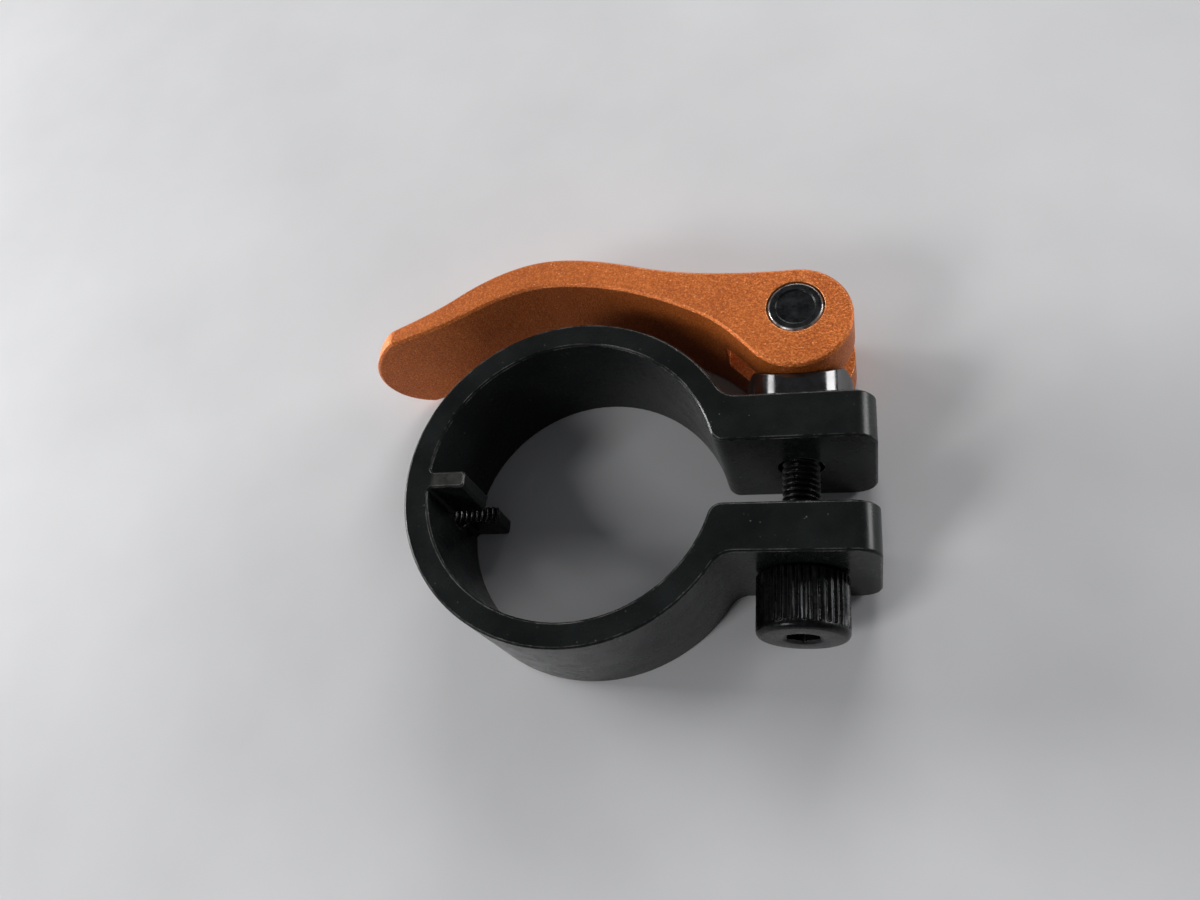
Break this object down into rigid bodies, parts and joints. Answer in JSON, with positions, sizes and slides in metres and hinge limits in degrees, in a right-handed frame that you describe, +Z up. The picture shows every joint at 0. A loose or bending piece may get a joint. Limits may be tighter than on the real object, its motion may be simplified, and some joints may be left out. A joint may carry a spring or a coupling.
{
  "type": "cam lever collar clamp",
  "caption": "Split collar for a keyed round tube, closed by a forked cam lever on a barrel pin, a saddle washer and a knurled socket screw.",
  "frame": {"origin": "the bore's axis, at the collar's lower face", "axes": "+Z up along the bore, +X from the bore towards the clamping lugs, +Y towards the closed lever"},
  "size_m": [0.0719, 0.0562, 0.0187],
  "materials": {
    "collar_black": "black satin anodised",
    "lever_orange": "orange metallic, bead blasted",
    "washer_black": "glossy black",
    "pin_steel": "black oxide",
    "screw_steel": "black oxide"
  },
  "bodies": {
    "collar": {"collar": "collar_black"},
    "screw": {"clamp_screw": "screw_steel"},
    "washer": {"cam_washer": "washer_black"},
    "pin": {"pivot_pin": "pin_steel"},
    "lever": {"cam_lever": "lever_orange"}
  },
  "joints": [
    {"name": "screw_turn", "type": "hinge", "parent": "collar", "child": "screw", "pos_m": [0.0288, -0.01045, 0.00935], "axis": [0, -1, 0], "range_deg": [0, 1440]},
    {"name": "head_swivel", "type": "hinge", "parent": "collar", "child": "washer", "pos_m": [0.0288, 0.01045, 0.00935], "axis": [0, 1, 0], "range_deg": [-90, 90]},
    {"name": "nut_travel", "type": "slide", "parent": "washer", "child": "pin", "axis": [0, 1, 0], "range_m": [0, 0.0032]},
    {"name": "lever_swing", "type": "hinge", "parent": "pin", "child": "lever", "pos_m": [0.0288, 0.0232, 0.00935], "axis": [0, 0, -1], "range_deg": [0, 180]}
  ],
  "couplings": [
    {"joint": "screw_turn", "follows": "nut_travel", "rad_per_m": 7854}
  ]
}
